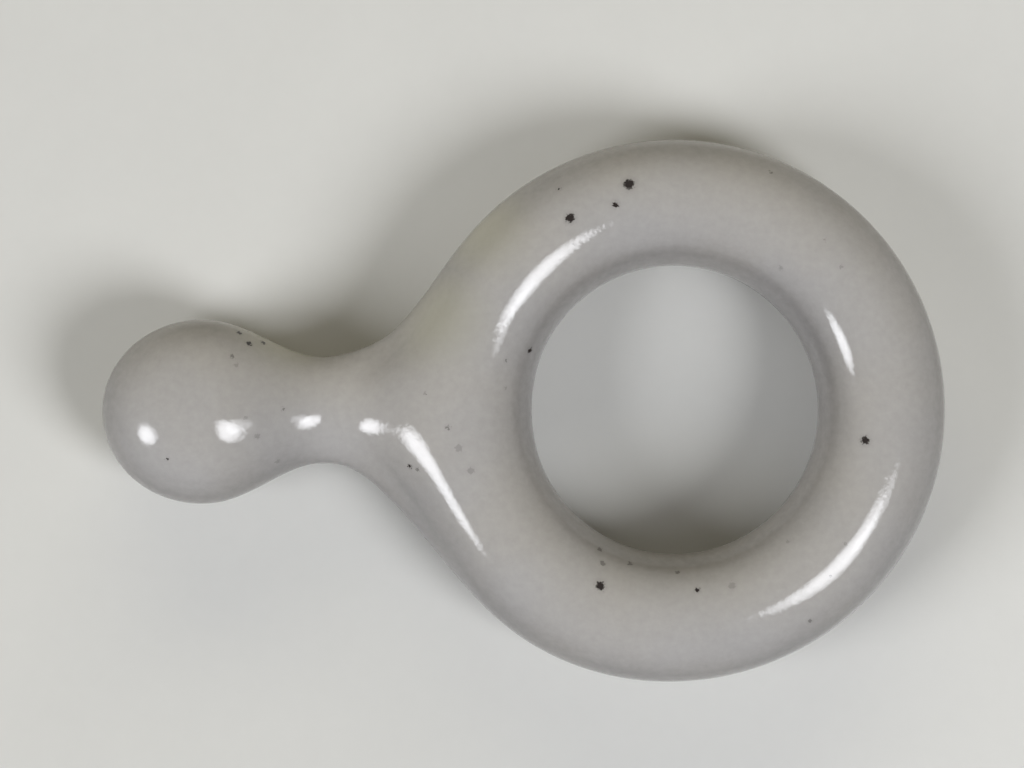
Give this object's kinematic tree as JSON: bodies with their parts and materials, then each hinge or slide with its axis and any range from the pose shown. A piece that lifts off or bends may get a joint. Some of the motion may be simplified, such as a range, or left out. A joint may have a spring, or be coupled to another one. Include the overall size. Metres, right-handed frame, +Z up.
{
  "type": "chopstick rest",
  "caption": "Glazed porcelain chopstick rest: a ring with a short handle that narrows to a neck and ends in a knob; chopstick tips lie across the neck.",
  "frame": {"origin": "on the table, under the middle of the whole length, on the middle line of ring and handle", "axes": "+Z up from the table; +X from the knob towards the ring, along the length"},
  "size_m": [0.06, 0.0386, 0.0086],
  "materials": {
    "porcelain": "bare fired clay, matt and slightly gritty",
    "glaze": "clear glossy glaze with small iron specks"
  },
  "bodies": {
    "root": {"porcelain_body": "porcelain", "glaze_coat": "glaze"}
  },
  "joints": []
}
